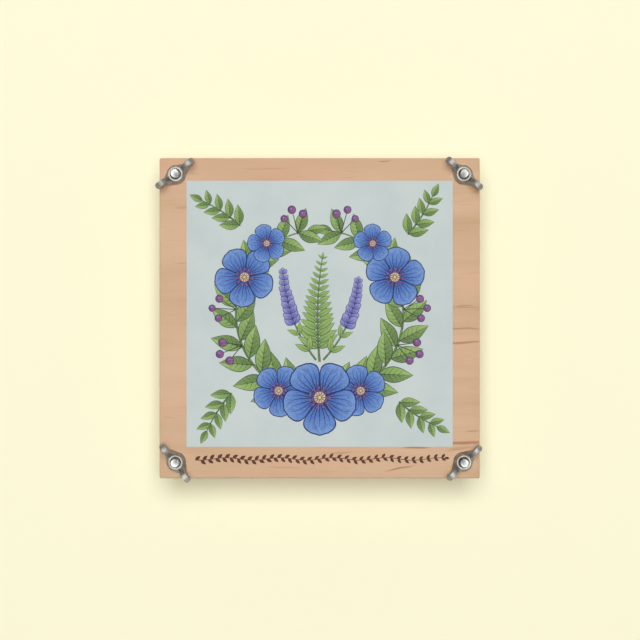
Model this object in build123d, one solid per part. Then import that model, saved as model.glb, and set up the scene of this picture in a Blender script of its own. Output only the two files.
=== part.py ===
from build123d import *
import math
import os

# A square wooden flower press. Two plywood boards are drawn together by four carriage bolts
# with wing nuts, over a stack of corrugated cards and blotting papers.
# Millimetres, +Z up, +Y to the back edge, origin on the table under the middle of the press.

# Boards
board_side = 180.0
board_thickness = 9.0
board_edge_bevel = 0.6

# Printed sheet on the top board, set towards the back edge
print_margin = 15.25
print_thickness = 0.2
print_shift = 2.5

# Carriage bolts
bolt_inset = 9.4
bolt_diameter = 5.0
bolt_stand_out = 4.8
bolt_tip_chamfer = 0.6
bolt_hole_clearance = 0.3
head_diameter = 13.0
head_height = 2.9
head_crown_diameter = 6.5
head_sink = 0.4
head_clearance = 0.7
neck_side = 5.3
neck_depth = 4.0
neck_clearance = 0.05

# Wing nuts: a conical boss with two splayed ears
nut_base_diameter = 11.2
nut_top_diameter = 8.2
nut_height = 6.5
nut_bore_clearance = 0.06
wing_span = 26.4
wing_height = 12.5
wing_ear_radius = 3.8
wing_ear_thickness = 3.3
wing_neck_reach = 8.3
wing_neck_thickness = 2.7
wing_root_low = 0.6
wing_root_high = 5.0
wing_flare_width = 8.4

# How far each nut is turned from the X axis, as it was left
nut_turns = {"back_left": 37.0, "back_right": -41.0, "front_left": -53.0, "front_right": 45.0}

# Stack of corrugated cards with a pair of blotting papers between each two
sheet_margin = 5.0
sheet_bolt_clearance = 4.0
card_count = 5
papers_per_pair = 2
card_thickness = 4.0
card_liner = 0.4
card_medium = 0.4
flute_count = 18
flute_flat_share = 0.08
paper_thickness = 0.5

# Overrun of every cut past the face that it opens
overrun = 1.0

# Levels and places worked out from the sizes above
sheet_side = board_side - 2 * sheet_margin
paper_count = papers_per_pair * (card_count - 1)
stack_height = card_count * card_thickness + paper_count * paper_thickness
stack_bottom = board_thickness
top_board_bottom = stack_bottom + stack_height
top_board_top = top_board_bottom + board_thickness
head_recess_depth = head_height + head_sink
bolt_end = top_board_top + nut_height + bolt_stand_out
bolt_reach = board_side / 2 - bolt_inset
corner_gap = bolt_diameter / 2 + sheet_bolt_clearance
sheet_corner_clip = sheet_side - 2 * bolt_reach + math.sqrt(2) * corner_gap
print_side = board_side - 2 * print_margin
bolt_places = {
    "back_left": (-bolt_reach, bolt_reach),
    "back_right": (bolt_reach, bolt_reach),
    "front_left": (-bolt_reach, -bolt_reach),
    "front_right": (bolt_reach, -bolt_reach),
}


def cylinder_up(diameter, height, bottom=0):
    """A cylinder on the Z axis that stands on the level given."""
    return Pos(0, 0, bottom) * extrude(Circle(diameter / 2), height)


def square_up(side, height, bottom=0):
    """A square prism on the Z axis that stands on the level given."""
    return Pos(0, 0, bottom) * extrude(Rectangle(side, side), height)


def at_bolts(shape):
    """One copy of a shape at each of the four bolts."""
    return [Pos(x, y, 0) * shape for x, y in bolt_places.values()]


# Boards


def plain_board(bottom):
    """A square board with every edge bevelled a little."""
    board = square_up(board_side, board_thickness)
    return Pos(0, 0, bottom) * chamfer(board.edges(), board_edge_bevel)


def bottom_board():
    """The board that stands on the table, with a square hole and a sunk seat for each bolt."""
    socket = square_up(neck_side + 2 * neck_clearance, board_thickness + 2 * overrun, -overrun)
    recess = cylinder_up(head_diameter + 2 * head_clearance, head_recess_depth + overrun, -overrun)
    return plain_board(0) - at_bolts(socket + recess)


def top_board():
    """The pressing board, which slides on the four bolts."""
    hole_diameter = bolt_diameter + 2 * bolt_hole_clearance
    hole = cylinder_up(hole_diameter, board_thickness + 2 * overrun, top_board_bottom - overrun)
    return plain_board(top_board_bottom) - at_bolts(hole)


def printed_sheet():
    """The thin printed square glued to the top board."""
    return Pos(0, print_shift, 0) * square_up(print_side, print_thickness, top_board_top)


# Hardware


def carriage_bolt():
    """A bolt with a low sloped head sunk in the board, a square neck and a chamfered tip."""
    crown = [(0, head_sink), (head_crown_diameter / 2, head_sink)]
    seat = [(head_diameter / 2, head_recess_depth), (0, head_recess_depth)]
    head = revolve(Plane.XZ * make_face(Polyline(crown + seat, close=True)), Axis.Z)
    neck = square_up(neck_side, neck_depth, head_recess_depth)
    shank = cylinder_up(bolt_diameter, bolt_end - head_recess_depth, head_recess_depth)
    shank = chamfer(shank.edges().sort_by(Axis.Z)[-1], bolt_tip_chamfer)
    return head + neck + shank


def ear_touch(start, ear_middle, side):
    """Where a straight line from a point touches the round of an ear, on its left (1) or right (-1)."""
    across = ear_middle[0] - start[0]
    up = ear_middle[1] - start[1]
    distance = math.hypot(across, up)
    bearing = math.atan2(up, across) + side * math.asin(wing_ear_radius / distance)
    run = math.sqrt(distance**2 - wing_ear_radius**2)
    return (start[0] + run * math.cos(bearing), start[1] + run * math.sin(bearing))


def wing_side_outline(inner_reach):
    """A wing seen from the side, outwards from the reach given: a round ear drawn down to the boss."""
    ear_middle = (wing_span / 2 - wing_ear_radius, wing_height - wing_ear_radius)
    crotch = (inner_reach, wing_root_high)
    heel = (inner_reach, wing_root_low)
    foot = (nut_base_diameter / 2, wing_root_low)
    inner_touch = ear_touch(crotch, ear_middle, 1)
    outer_touch = ear_touch(foot, ear_middle, -1)
    ear = ThreePointArc(outer_touch, (ear_middle[0], wing_height), inner_touch)
    root = Polyline(inner_touch, crotch, heel, foot, outer_touch)
    return make_face(ear + root)


def wing_plan_outline():
    """A wing seen from above: a narrow neck and a thicker ear with a rounded end."""
    ear_half = wing_ear_thickness / 2
    neck_half = wing_neck_thickness / 2
    neck = (wing_neck_reach, neck_half)
    ear = (wing_span / 2 - ear_half, ear_half)
    near_side = Polyline((0, neck_half), neck, ear)
    rounded_end = ThreePointArc(ear, (wing_span / 2, 0), (ear[0], -ear_half))
    far_side = mirror(near_side, Plane.XZ)
    closing = Line((0, -neck_half), (0, neck_half))
    return make_face(near_side + rounded_end + far_side + closing)


def wing_fairing():
    """The flare at a wing's root: its flanks leave the boss side-on and lean in to the neck like a roof."""
    radius = nut_base_diameter / 2
    neck = (wing_neck_reach, wing_neck_thickness / 2)
    bearing = math.atan2(neck[1], neck[0]) + math.acos(radius / math.hypot(*neck))
    touch = (radius * math.cos(bearing), radius * math.sin(bearing))
    near_side = [neck, touch, (0, touch[1] / 2)]
    far_side = [(x, -y) for x, y in reversed(near_side)]
    foot = extrude(make_face(Polyline(near_side + far_side, close=True)), wing_root_high)
    eaves = [(-wing_flare_width / 2, 0), (wing_flare_width / 2, 0)]
    ridge = [(neck[1], wing_root_high), (-neck[1], wing_root_high)]
    roof = extrude(Plane.YZ * make_face(Polyline(eaves + ridge, close=True)), wing_neck_reach)
    return foot & roof


def wing():
    """One wing along +X: a blade that leaves the boss's top clear, and the flare at its root."""
    blade_side = extrude(Plane.XZ * wing_side_outline(nut_top_diameter / 2), nut_base_diameter, both=True)
    flare_side = extrude(Plane.XZ * wing_side_outline(0), nut_base_diameter, both=True)
    blade = blade_side & extrude(wing_plan_outline(), wing_height)
    return blade + (flare_side & wing_fairing())


def wing_nut():
    """A nut on its own axis, foot at zero, wings along X."""
    upright = (Align.CENTER, Align.CENTER, Align.MIN)
    boss = Cone(nut_base_diameter / 2, nut_top_diameter / 2, nut_height, align=upright)
    bore = cylinder_up(bolt_diameter + 2 * nut_bore_clearance, nut_height + 2 * overrun, -overrun)
    return boss + wing() + mirror(wing(), Plane.YZ) - bore


# Stack


def sheet_prism(thickness):
    """A square sheet with its corners clipped to pass inside the bolts."""
    blank = extrude(Rectangle(sheet_side, sheet_side), thickness)
    return chamfer(blank.edges().filter_by(Axis.Z), sheet_corner_clip)


def flute_void(middle, level, rise):
    """The gap under one wave of a card's medium, from its wide side at the level given."""
    pitch = sheet_side / flute_count
    flat = pitch * flute_flat_share
    bend = math.atan2(abs(rise), pitch / 2 - 2 * flat)
    fold = card_medium / 2 * math.tan(bend / 2)
    wide = pitch / 2 - flat - fold
    narrow = flat - fold
    far = level + rise
    base = [(middle + wide, level), (middle - wide, level)]
    crest = [(middle - narrow, far), (middle + narrow, far)]
    return make_face(Polyline(base + crest, close=True))


def corrugated_card():
    """A card with two liners and a waved medium, flutes along Y, on level zero."""
    pitch = sheet_side / flute_count
    low = card_liner
    high = card_thickness - card_liner
    rise = high - low - card_medium
    voids = []
    for wave in range(flute_count + 1):
        start = wave * pitch - sheet_side / 2
        voids.append(flute_void(start, high, -rise))
        if wave < flute_count:
            voids.append(flute_void(start + pitch / 2, low, rise))
    section = Pos(0, card_thickness / 2) * Rectangle(sheet_side, card_thickness) - voids
    block = extrude(Plane.XZ * section, sheet_side / 2, both=True)
    return block & sheet_prism(card_thickness)


def blotting_paper():
    """A plain absorbent sheet on level zero."""
    return sheet_prism(paper_thickness)


def stack():
    """Every loose sheet by name, from the bottom board up, with flutes crossing from card to card."""
    sheets = {}
    card = corrugated_card()
    paper = blotting_paper()
    level = stack_bottom
    for layer in range(card_count):
        turn = 90 * (layer % 2)
        sheets[f"corrugated_card_{layer + 1}"] = Pos(0, 0, level) * Rot(0, 0, turn) * card
        level += card_thickness
        if layer == card_count - 1:
            break
        for sheet in range(papers_per_pair):
            number = layer * papers_per_pair + sheet + 1
            sheets[f"blotting_paper_{number}"] = Pos(0, 0, level) * paper
            level += paper_thickness
    return sheets


def press():
    """Every piece of the press by name, in place."""
    pieces = {"bottom_board": bottom_board(), "top_board": top_board(), "printed_sheet": printed_sheet()}
    bolt = carriage_bolt()
    nut = wing_nut()
    for place, (x, y) in bolt_places.items():
        pieces[f"carriage_bolt_{place}"] = Pos(x, y, 0) * bolt
        pieces[f"wing_nut_{place}"] = Pos(x, y, top_board_top) * Rot(0, 0, nut_turns[place]) * nut
    pieces.update(stack())
    return pieces


os.makedirs("parts", exist_ok=True)
for name, piece in press().items():
    export_step(piece, f"parts/{name}.step")
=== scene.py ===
import math
import random

import bmesh
import bpy
from mathutils import Matrix, Vector


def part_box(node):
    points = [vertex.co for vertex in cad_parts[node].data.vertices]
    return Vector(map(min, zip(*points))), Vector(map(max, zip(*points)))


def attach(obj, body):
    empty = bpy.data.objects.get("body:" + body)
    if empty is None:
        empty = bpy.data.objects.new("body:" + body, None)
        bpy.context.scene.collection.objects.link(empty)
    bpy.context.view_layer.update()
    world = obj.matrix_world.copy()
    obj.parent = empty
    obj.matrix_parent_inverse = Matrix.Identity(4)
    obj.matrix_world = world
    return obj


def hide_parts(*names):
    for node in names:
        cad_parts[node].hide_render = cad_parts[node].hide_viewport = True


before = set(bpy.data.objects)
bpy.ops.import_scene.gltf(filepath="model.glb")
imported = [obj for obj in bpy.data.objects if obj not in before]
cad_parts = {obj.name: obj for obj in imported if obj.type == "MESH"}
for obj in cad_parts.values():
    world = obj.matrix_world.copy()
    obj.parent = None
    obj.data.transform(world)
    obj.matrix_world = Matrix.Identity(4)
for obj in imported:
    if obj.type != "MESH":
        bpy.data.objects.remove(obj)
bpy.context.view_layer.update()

# A square flower press, seen from straight above: two plywood boards, carriage bolts with wing
# nuts, corrugated cards and blotting papers, and a printed plate of flowers on the top board.
# Metres in the frame of the solids, +Z up, +Y to the back edge.

MM = 0.001
PLACES = ("back_left", "back_right", "front_left", "front_right")

# Points nearer than this are one point
WELD = 0.002 * MM

# How far a cut runs past a face, and a joined form into its neighbour
OVERRUN = 1.0 * MM

# Steps round a turned form
ROUND_STEPS = 48

# Levels and sizes taken from the solids
BOTTOM_LOW, BOTTOM_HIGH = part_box("bottom_board")
TOP_LOW, TOP_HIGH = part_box("top_board")
SHEET_LOW, SHEET_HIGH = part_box("printed_sheet")
SHEET_MIDDLE = (SHEET_LOW + SHEET_HIGH) / 2
BOARD_THICKNESS = TOP_HIGH.z - TOP_LOW.z
BOLT_AXES = {}
for place in PLACES:
    low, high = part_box(f"carriage_bolt_{place}")
    BOLT_AXES[place] = Vector(((low.x + high.x) / 2, (low.y + high.y) / 2, 0))
BOLT_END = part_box("carriage_bolt_back_left")[1].z

# Boards; SHARP, here and below, is the angle in degrees past which an edge is not shaded smooth
BOARD_EDGE_ROUND = 0.9 * MM
BOARD_EDGE_STEPS = 4
BOARD_SHARP = 35
BOLT_HOLE_RADIUS = 2.8 * MM
SOCKET_SIDE = 5.4 * MM
RECESS_RADIUS = 7.2 * MM
RECESS_DEPTH = 3.3 * MM

# Bolts
BOLT_SHARP = 32
THREAD_RADIUS = 2.5 * MM
THREAD_ROOT_RADIUS = 2.05 * MM
THREAD_PITCH = 0.8 * MM
THREAD_STEPS = 8
THREAD_SIDES = 40
THREAD_STEEPNESS = 2.6
THREAD_ROOT_FLAT = 0.15
TIP_CHAMFER = 0.36 * MM
TIP_CROWN = 0.09 * MM
TIP_RINGS = 6
NECK_SIDE = 5.3 * MM
NECK_DEPTH = 4.0 * MM
NECK_ROUND = 0.35 * MM
NECK_ROUND_STEPS = 2
NECK_TOP = RECESS_DEPTH + NECK_DEPTH
HEAD_RADIUS = 6.5 * MM
HEAD_SINK = 0.4 * MM
HEAD_RIM = 0.5 * MM
HEAD_STEPS = 12

# Wing nuts, turned in degrees as they were left
NUT_TURNS = {"back_left": 37.0, "back_right": -41.0, "front_left": -53.0, "front_right": 45.0}
NUT_HEIGHT = 6.5 * MM
NUT_GRAIN = 0.16 * MM
NUT_SMOOTHING = 5
NUT_SOFTNESS = 0.5
NUT_MOUTH_RADIUS = 2.95 * MM
NUT_WAIST = 0.08
NUT_WAIST_DROP = 0.8
NUT_BORE_REACH = 2.8 * MM
NUT_FACE_RADIUS = 4.3 * MM
NUT_FACE_DEPTH = 0.5 * MM

# Loose sheets
SHEET_SIDE = 170.0 * MM
CORNER_CLIP = 17.99 * MM
CARD_COUNT = 5
CARD_LINER = 0.4 * MM
CARD_MEDIUM = 0.4 * MM
CARD_BOND = 0.03 * MM
CARD_SHARP = 40
FLUTE_COUNT = 18
FLUTE_STEPS = 16
PAPER_COUNT = 8
PAPER_EDGE_STEP = 2.5 * MM

# How far a loose sheet lies out of line, in millimetres and degrees, and how far a paper's edge
# strays in and out, in millimetres
SHEET_SEED = 11
SHEET_SLIP = 0.4
SHEET_TURN = 0.35
PAPER_RAGGED = (-0.08, 0.04)


def tint(red, green, blue):
    """A screen colour, given in steps of 255, as the linear colour that a shader takes."""
    def linear(step):
        """One part of the colour."""
        share = step / 255
        return share / 12.92 if share <= 0.04045 else ((share + 0.055) / 1.055) ** 2.4
    return (linear(red), linear(green), linear(blue), 1.0)


# Node trees

# The span that a random pattern mostly keeps to
PATTERN_LOW = 0.3
PATTERN_MIDDLE = 0.5
PATTERN_HIGH = 0.7


class Nodes:
    """A node tree that is filled in node by node."""

    def __init__(self, tree):
        self.tree = tree

    def feed(self, socket, value):
        """Sets an input, or links it where the value is another node's output."""
        if isinstance(value, bpy.types.NodeSocket):
            self.tree.links.new(value, socket)
        else:
            socket.default_value = value

    def add(self, kind, values=None, **settings):
        """A new node with its settings and its inputs, by name or number."""
        node = self.tree.nodes.new(kind)
        for key, value in settings.items():
            setattr(node, key, value)
        for socket, value in (values or {}).items():
            self.feed(node.inputs[socket], value)
        return node

    def calc(self, operation, *values):
        """One sum on numbers."""
        node = self.add("ShaderNodeMath", dict(enumerate(values)), operation=operation)
        return node.outputs[0]

    def vector(self, x, y, z):
        """Three numbers as one vector."""
        return self.add("ShaderNodeCombineXYZ", {0: x, 1: y, 2: z}).outputs[0]

    def parts(self, vector):
        """The three numbers of a vector."""
        return self.add("ShaderNodeSeparateXYZ", {0: vector}).outputs


class Finish(Nodes):
    """A material, coloured by its nodes."""

    def __init__(self, name):
        self.material = bpy.data.materials.new(name)
        self.material.use_nodes = True
        super().__init__(self.material.node_tree)
        self.shader = self.tree.nodes["Principled BSDF"]

    def coordinates(self):
        """Where a point lies on its piece, in metres."""
        return self.add("ShaderNodeTexCoord").outputs["Object"]

    def cloud(self, vector, detail, roughness, distortion=0.0):
        """Soft random shades from 0 to 1."""
        values = {"Vector": vector, "Scale": 1.0, "Detail": detail}
        values.update({"Roughness": roughness, "Distortion": distortion})
        return self.add("ShaderNodeTexNoise", values).outputs[0]

    def pattern(self, cells, detail, roughness=0.5, distortion=0.0, shift=(0, 0, 0)):
        """A cloud with so many cells to the metre, alike on every axis or given for each."""
        scale = cells if isinstance(cells, tuple) else (cells, cells, cells)
        values = {"Vector": self.coordinates(), "Scale": scale, "Location": shift}
        vector = self.add("ShaderNodeMapping", values).outputs[0]
        return self.cloud(vector, detail, roughness, distortion)

    def ramp(self, factor, stops, interpolation="LINEAR"):
        """A colour for each level of a factor."""
        node = self.add("ShaderNodeValToRGB", {0: factor})
        elements = node.color_ramp.elements
        node.color_ramp.interpolation = interpolation
        while len(elements) < len(stops):
            elements.new(1.0)
        for element, (position, colour) in zip(elements, stops):
            element.position = position
            element.color = colour
        return node.outputs[0]

    def shades(self, pattern, dark, middle, light):
        """Three tints over the span of a pattern."""
        places = (PATTERN_LOW, PATTERN_MIDDLE, PATTERN_HIGH)
        tints = (tint(*dark), tint(*middle), tint(*light))
        return self.ramp(pattern, list(zip(places, tints)))

    def span(self, factor, low, high, out_low=0.0, out_high=1.0):
        """A factor's span drawn out to another one and held there at its ends."""
        values = {0: factor, 1: low, 2: high, 3: out_low, 4: out_high}
        return self.add("ShaderNodeMapRange", values, clamp=True).outputs[0]

    def mix(self, factor, first, second):
        """Two colours mixed."""
        values = {0: factor, 6: first, 7: second}
        return self.add("ShaderNodeMix", values, data_type="RGBA").outputs[2]

    def overlay(self, base, pattern, low, high, share, colour):
        """A base with a colour over it: none where a pattern is low, a share where it is high."""
        return self.mix(self.span(pattern, low, high, 0.0, share), base, colour)

    def relief(self, height, strength, depth):
        """Small relief from a height pattern."""
        values = {"Height": height, "Strength": strength, "Distance": depth}
        self.feed(self.shader.inputs["Normal"], self.add("ShaderNodeBump", values).outputs[0])

    def colour(self, value):
        """The colour of the surface."""
        self.feed(self.shader.inputs["Base Color"], value)

    def dull(self, value):
        """The roughness of the surface."""
        self.feed(self.shader.inputs["Roughness"], value)

    def dull_by(self, pattern, dark, light):
        """A roughness for the dark parts of a pattern and another for its light ones."""
        self.dull(self.span(pattern, PATTERN_LOW, PATTERN_HIGH, dark, light))

    def gloss(self, level):
        """How strongly the surface reflects, the same all over."""
        self.shader.inputs["Specular IOR Level"].default_value = level


class Rule(Nodes):
    """A geometry tree with named inputs, which grows a plain mesh."""

    def __init__(self, name, inputs):
        group = bpy.data.node_groups.new(name, "GeometryNodeTree")
        super().__init__(group)
        for label, kind in inputs.items():
            group.interface.new_socket(label, in_out="INPUT", socket_type=kind)
        group.interface.new_socket("Geometry", in_out="OUTPUT", socket_type="NodeSocketGeometry")
        self.given = self.add("NodeGroupInput").outputs

    def shape_of(self, thing):
        """The geometry of an object."""
        return self.add("GeometryNodeObjectInfo", {"Object": thing}).outputs["Geometry"]

    def raised(self, points, height):
        """Points moved up by a height."""
        values = {"Geometry": points, "Offset": self.vector(0.0, 0.0, height)}
        return self.add("GeometryNodeSetPosition", values).outputs[0]

    def placed(self, points, thing, bearing, size):
        """A thing on every point, turned to a bearing and brought to a size."""
        values = {"Points": points, "Instance": thing}
        values["Rotation"] = self.vector(0.0, 0.0, bearing)
        values["Scale"] = self.vector(size, size, 1.0)
        return self.add("GeometryNodeInstanceOnPoints", values).outputs[0]

    def end(self, geometry):
        """Closes the tree: plain geometry in the finish given."""
        real = self.add("GeometryNodeRealizeInstances", {0: geometry}).outputs[0]
        values = {"Geometry": real, "Material": self.given["Finish"]}
        finished = self.add("GeometryNodeSetMaterial", values).outputs[0]
        self.add("NodeGroupOutput", {0: finished})

    def grow(self, name, values):
        """The mesh that the tree makes of these inputs."""
        carrier = in_scene(name, bpy.data.meshes.new(name))
        modifier = carrier.modifiers.new("rule", "NODES")
        modifier.node_group = self.tree
        for item in self.tree.interface.items_tree:
            if item.in_out == "INPUT":
                modifier[item.identifier] = values[item.name]
        return plain_mesh(carrier, name)


FLOAT = "NodeSocketFloat"
WHOLE = "NodeSocketInt"
POINT = "NodeSocketVector"
THING = "NodeSocketObject"
FINISH = "NodeSocketMaterial"


# Meshes and pieces


def plain_mesh(carrier, name):
    """What an object's modifiers make, as a mesh of its own; the object goes."""
    depsgraph = bpy.context.evaluated_depsgraph_get()
    mesh = bpy.data.meshes.new_from_object(carrier.evaluated_get(depsgraph), depsgraph=depsgraph)
    mesh.name = name
    bpy.data.objects.remove(carrier)
    return mesh


def in_scene(name, data):
    """An object for a mesh, curve, lamp or camera, put into the scene."""
    thing = bpy.data.objects.new(name, data)
    bpy.context.scene.collection.objects.link(thing)
    return thing


def mesh_of(form, name):
    """A bmesh written out as a mesh."""
    mesh = bpy.data.meshes.new(name)
    form.to_mesh(mesh)
    form.free()
    return mesh


def soften(mesh, degrees):
    """Shades a mesh smooth, apart from edges sharper than the angle given."""
    mesh.shade_smooth()
    mesh.set_sharp_from_angle(angle=math.radians(degrees))


def piece(name, mesh, finish, body, nodes=()):
    """A finished piece that rides on its body and stands for the nodes given."""
    thing = in_scene(name, mesh)
    mesh.materials.clear()
    mesh.materials.append(finish)
    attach(thing, body)
    if nodes:
        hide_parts(*nodes)


def turned_form(profile):
    """A closed solid turned about Z from points (radius, height), whose ends lie on the axis."""
    form = bmesh.new()
    verts = [form.verts.new((radius, 0, height)) for radius, height in profile]
    edges = [form.edges.new(pair) for pair in zip(verts, verts[1:])]
    bmesh.ops.spin(
        form, geom=verts + edges, axis=(0, 0, 1), cent=(0, 0, 0), angle=2 * math.pi,
        steps=ROUND_STEPS,
    )
    bmesh.ops.remove_doubles(form, verts=form.verts, dist=WELD)
    bmesh.ops.recalc_face_normals(form, faces=form.faces)
    return form


def box_form(low, high, rounding=0.0, steps=1):
    """A box between two corners, with its edges rounded."""
    form = bmesh.new()
    size = Vector(high) - Vector(low)
    middle = (Vector(high) + Vector(low)) / 2
    shape = Matrix.Translation(middle) @ Matrix.Diagonal((*size, 1.0))
    bmesh.ops.create_cube(form, size=1.0, matrix=shape)
    if rounding:
        edges = form.edges[:]
        bmesh.ops.bevel(
            form, geom=edges, offset=rounding, segments=steps, profile=0.5, affect="EDGES"
        )
    return form


def prism(form, points, low_level, high_level):
    """A closed plate between two levels; returns its lower corners, upper corners and faces."""
    low = [form.verts.new((x, y, low_level)) for x, y in points]
    high = [form.verts.new((x, y, high_level)) for x, y in points]
    faces = [form.faces.new(high), form.faces.new(low[::-1])]
    for index in range(len(points)):
        after = (index + 1) % len(points)
        faces.append(form.faces.new((low[index], low[after], high[after], high[index])))
    return low, high, faces


def cylinder_form(radius, low, high):
    """An upright cylinder between two levels."""
    return turned_form([(0, low), (radius, low), (radius, high), (0, high)])


def combined(name, blank, forms, operation):
    """A blank with the other forms cut out of it (DIFFERENCE) or joined to it (UNION)."""
    body = in_scene(name, mesh_of(blank, name))
    tools = []
    for number, form in enumerate(forms):
        tools.append(in_scene(f"{name}_{number}", mesh_of(form, name)))
        modifier = body.modifiers.new("combine", "BOOLEAN")
        modifier.operation = operation
        modifier.solver = "EXACT"
        modifier.object = tools[-1]
    mesh = plain_mesh(body, name)
    for tool in tools:
        bpy.data.objects.remove(tool)
    whole = bmesh.new()
    whole.from_mesh(mesh)
    bmesh.ops.remove_doubles(whole, verts=whole.verts, dist=WELD)
    bmesh.ops.dissolve_degenerate(whole, dist=WELD, edges=whole.edges)
    whole.to_mesh(mesh)
    whole.free()
    return mesh


def main_shell(mesh):
    """A mesh cleared of everything that hangs apart from its largest shell."""
    form = bmesh.new()
    form.from_mesh(mesh)
    waiting = set(form.verts)
    shells = []
    while waiting:
        found = [waiting.pop()]
        for vert in found:
            for edge in vert.link_edges:
                other = edge.other_vert(vert)
                if other in waiting:
                    waiting.remove(other)
                    found.append(other)
        shells.append(found)
    shells.sort(key=len)
    for specks in shells[:-1]:
        bmesh.ops.delete(form, geom=specks, context="VERTS")
    form.to_mesh(mesh)
    form.free()


# Finishes

# Plywood: where each ply ends and half the width of a glue line, as shares of the thickness
PLY_ENDS = (0.14, 0.38, 0.62, 0.86)
GLUE_HALF = 0.012

# Share of the fine fibres in the grain, and where in the grain's pattern each board is cut
FIBRE_SHARE = 0.14
BOTTOM_CUT = (3.1, 7.7, 1.3)
TOP_CUT = (0.4, 2.6, 5.2)

# Streaks in the top board's face veneer: middle, length and width in millimetres, lean in degrees
# and strength
BROWN_STREAKS = [
    ((81.0, -5.8), 30.0, 1.2, 1.5, 0.5),
    ((81.0, -13.6), 32.0, 1.9, 2.5, 0.6),
    ((86.0, -63.2), 10.0, 1.3, 1.0, 0.4),
    ((81.0, -70.2), 30.0, 2.4, 3.0, 0.7),
    ((79.0, -73.4), 18.0, 2.6, 8.0, 0.35),
    ((81.5, 7.2), 13.0, 1.0, 0.0, 0.4),
    ((54.0, -72.8), 19.0, 1.5, 0.0, 0.7),
    ((45.0, -84.4), 20.0, 1.5, 11.0, 0.62),
    ((12.0, -75.6), 16.0, 1.5, 4.0, 0.35),
    ((-77.0, 62.4), 10.0, 1.6, 0.0, 0.25),
    ((-77.5, 31.0), 11.0, 1.4, 0.0, 0.2),
    ((-84.5, -56.0), 8.0, 1.0, -3.0, 0.2),
    ((36.5, 88.4), 9.0, 1.0, 2.0, 0.5),
    ((-20.0, -84.0), 26.0, 1.2, -2.0, 0.25),
    ((-30.0, 84.0), 34.0, 1.0, 1.0, 0.2),
]
PALE_STREAKS = [
    ((-84.0, -26.0), 60.0, 84.0, 0.0, 0.55),
    ((-84.0, 40.0), 50.0, 60.0, 0.0, 0.3),
]
STREAK_WAVER = 1.6 * MM
STREAK_DEPTH = BOARD_THICKNESS / 6
STREAK_FADE = 0.55

# Zinc plate: its greys from dark to light, where they lie in its clouds, and the depth of its pits
STEEL_STOPS = (0.30, 0.52, 0.70)
BOLT_GREYS = (150, 178, 198)
NUT_GREYS = (138, 164, 182)
STEEL_PITS = 0.06 * MM

# Roughness of bolts and nuts in the dark and the light clouds, and of a nut's faced ring, with how
# metallic the plain casting is
BOLT_ROUGHNESS = (0.2, 0.11)
CAST_ROUGHNESS = (0.56, 0.42)
FACED_ROUGHNESS = 0.36
CAST_METAL = 0.9

# What the finishes read from a mesh: where a nut is faced off, and the run of a printed shape
FACED = "faced"
INK_MAP = "ink"

# How often the hatching of an ink breaks up between foot and tip
HATCH_RUN = 1.6


def ply_edges(finish, depth):
    """Which plies cross the others, and the glue lines between them, through the thickness."""
    none = (0, 0, 0, 1)
    full = (1, 1, 1, 1)
    ply_stops = [(0.0, none)]
    glue_stops = [(0.0, none)]
    for number, end in enumerate(PLY_ENDS):
        ply_stops.append((end, none if number % 2 else full))
        glue_stops += [(end - GLUE_HALF, none), (end, full), (end + GLUE_HALF, none)]
    return finish.ramp(depth, ply_stops, "CONSTANT"), finish.ramp(depth, glue_stops)


def wood_grain(finish, shift, crosswise):
    """Broad bands with fine fibres in them, along X, or along Y where the ply lies crosswise."""
    def cells(long, across):
        """Cells to the metre on each axis."""
        return (across, long, across) if crosswise else (long, across, across)
    bands = finish.pattern(cells(6, 60), 3.0, 0.5, 0.8, shift)
    fibres = finish.pattern(cells(40, 900), 2.0, 0.55, shift=shift)
    broad = finish.calc("MULTIPLY", bands, 1 - FIBRE_SHARE)
    return finish.calc("MULTIPLY_ADD", fibres, FIBRE_SHARE, broad)


def face_streak(finish, middle, length, width, lean, strength):
    """How strongly a streak shows: a lens in the face veneer that wavers a little."""
    waver = finish.pattern(90, 1.0)
    side = finish.calc("MULTIPLY_ADD", waver, STREAK_WAVER, -STREAK_WAVER / 2)
    values = {0: finish.coordinates(), 1: finish.vector(0.0, side, 0.0)}
    bent = finish.add("ShaderNodeVectorMath", values).outputs[0]
    lens = finish.add("ShaderNodeMapping", {
        "Vector": bent,
        "Location": (middle[0] * MM, middle[1] * MM, TOP_HIGH.z),
        "Rotation": (0, 0, math.radians(lean)),
        "Scale": (length / 2 * MM, width / 2 * MM, STREAK_DEPTH),
    }, vector_type="TEXTURE").outputs[0]
    fade = finish.add("ShaderNodeTexGradient", {0: lens}, gradient_type="SPHERICAL").outputs[1]
    return finish.span(fade, 0.0, STREAK_FADE, 0.0, strength)


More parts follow.
